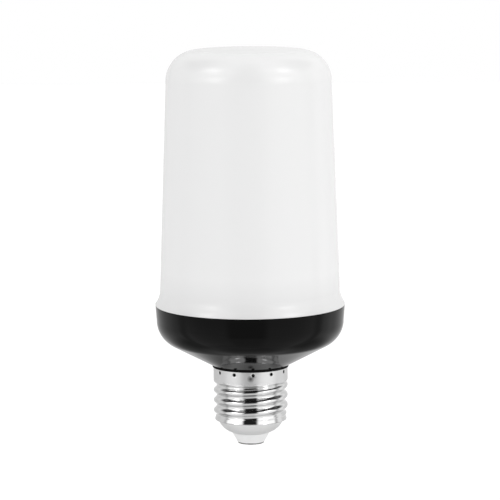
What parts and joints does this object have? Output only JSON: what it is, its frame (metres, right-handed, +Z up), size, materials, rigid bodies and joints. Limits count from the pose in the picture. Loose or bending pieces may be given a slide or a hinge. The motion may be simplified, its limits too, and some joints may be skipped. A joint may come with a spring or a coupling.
{
  "type": "flame effect led bulb",
  "caption": "Tall LED bulb with a milky diffuser, a black bowl-shaped housing and a nickel-plated screw cap; LED columns on an inner tube make a flickering flame.",
  "frame": {"origin": "centre of the lower face of the centre contact, where the contact of a lampholder touches", "axes": "+Z up the bulb's axis from the cap to the diffuser's top, -Y towards the viewer of the picture, +X to the viewer's right"},
  "size_m": [0.067, 0.067, 0.1398],
  "materials": {
    "milky_polycarbonate": "moulded opal polycarbonate with a soft gloss",
    "black_housing": "moulded black plastic, glossy",
    "nickel_plate": "rolled sheet, bright nickel plate",
    "white_insulator": "moulded white plastic",
    "contact_plate": "nickel-plated disc",
    "core_plastic": "moulded white plastic",
    "screw_steel": "zinc-plated steel",
    "flexible_board": "white solder mask on a thin film",
    "led_package": "white package with a yellow phosphor window",
    "rigid_board": "white solder mask on laminate",
    "link_wire": "tinned copper wire",
    "chip_plastic": "moulded black epoxy",
    "green_board": "green solder mask on laminate",
    "capacitor_sleeve": "shrunk film sleeve",
    "choke_winding": "enamelled copper winding on ferrite",
    "film_box": "dipped film capacitor",
    "resistor_body": "coated ceramic body",
    "shrink_sleeve": "heat-shrink tube",
    "wire_insulation": "silicone insulation"
  },
  "bodies": {
    "root": {"diffuser_cover": "milky_polycarbonate", "housing": "black_housing", "screw_shell": "nickel_plate", "cap_insulator": "white_insulator", "centre_contact": "contact_plate", "led_core": "core_plastic", "core_screws": "screw_steel", "wrap_board": "flexible_board", "led_column_1": "led_package", "led_column_2": "led_package", "led_column_3": "led_package", "led_column_4": "led_package", "led_column_5": "led_package", "led_column_6": "led_package", "led_column_7": "led_package", "led_column_8": "led_package", "led_column_9": "led_package", "top_board": "rigid_board", "top_leds": "led_package", "link_wires": "link_wire", "controller_chip": "chip_plastic", "driver_board": "green_board", "bridge_rectifier": "chip_plastic", "driver_chip": "chip_plastic", "bulk_capacitor": "capacitor_sleeve", "output_capacitor": "capacitor_sleeve", "choke": "choke_winding", "film_capacitor": "film_box", "chip_resistors": "chip_plastic", "fusible_resistor": "resistor_body", "resistor_sleeve": "shrink_sleeve", "neutral_wire": "link_wire", "supply_wires": "wire_insulation"}
  },
  "joints": []
}
